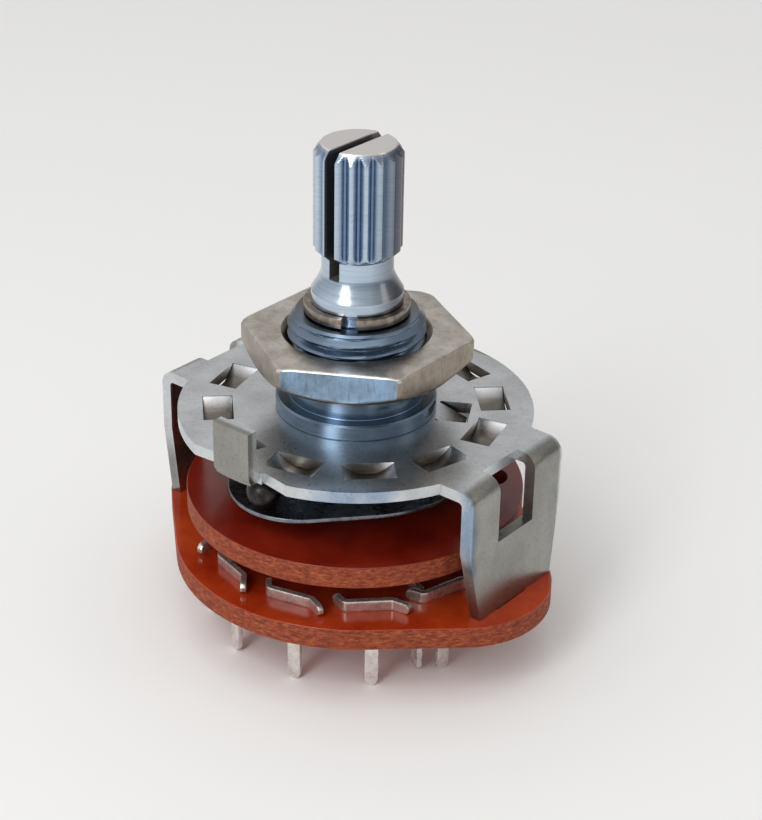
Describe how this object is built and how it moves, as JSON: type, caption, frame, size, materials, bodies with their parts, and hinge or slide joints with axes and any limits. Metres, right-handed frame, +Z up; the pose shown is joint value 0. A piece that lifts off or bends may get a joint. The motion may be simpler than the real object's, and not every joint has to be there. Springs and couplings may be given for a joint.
{
  "type": "rotary wafer switch",
  "caption": "Rotary wafer switch with a knurled, slotted shaft in a threaded bushing, a bent sheet metal detent frame and a laminate board of pin terminals.",
  "frame": {"origin": "on the shaft's axis, in the plane where the panel seats on the bushing's collar", "axes": "+Z up the shaft, out through the panel; +X out through the middle of one leg of the frame; the locating lug is on -Y"},
  "size_m": [0.0318, 0.0256, 0.0358],
  "materials": {
    "zinc_plate": "satin zinc plated sheet steel",
    "bushing_metal": "bright turned metal with a screw thread",
    "nut_steel": "dull plated steel",
    "shaft_metal": "bright plated, turned and knurled",
    "spring_steel": "blued brown spring steel",
    "turned_steel": "satin",
    "spring_leaf": "bright rolled spring strip",
    "ball_steel": "polished",
    "rotor_laminate": "glossy dark red phenolic paper laminate, fibrous at its cut edge",
    "board_laminate": "glossy red brown phenolic paper laminate, fibrous at its cut edge",
    "contact_metal": "silver plated",
    "terminal_metal": "silver plated, slightly dulled"
  },
  "bodies": {
    "frame_body": {"detent_frame": "zinc_plate", "bushing": "bushing_metal", "stator_board": "board_laminate", "common_terminal": "terminal_metal", "terminal_01": "terminal_metal", "terminal_02": "terminal_metal", "terminal_03": "terminal_metal", "terminal_04": "terminal_metal", "terminal_05": "terminal_metal", "terminal_06": "terminal_metal", "terminal_07": "terminal_metal", "terminal_08": "terminal_metal", "terminal_09": "terminal_metal", "terminal_10": "terminal_metal", "terminal_11": "terminal_metal", "terminal_12": "terminal_metal"},
    "rotor_body": {"shaft": "shaft_metal", "circlip": "spring_steel", "stop_arm": "turned_steel", "upper_spacer": "turned_steel", "detent_spring": "spring_leaf", "detent_ball_front": "ball_steel", "detent_ball_rear": "ball_steel", "lower_spacer": "turned_steel", "rotor_disc": "rotor_laminate", "moving_contact": "contact_metal", "rotor_washer": "turned_steel"},
    "nut_body": {"mounting_nut": "nut_steel"}
  },
  "joints": [
    {"name": "shaft_rotation", "type": "hinge", "parent": "frame_body", "child": "rotor_body", "pos_m": [0, 0, 0], "axis": [0, 0, 1], "range_deg": [-150, 180]},
    {"name": "nut_travel", "type": "slide", "parent": "frame_body", "child": "nut_body", "axis": [0, 0, 1], "range_m": [-0.0023, 0.0034]}
  ]
}
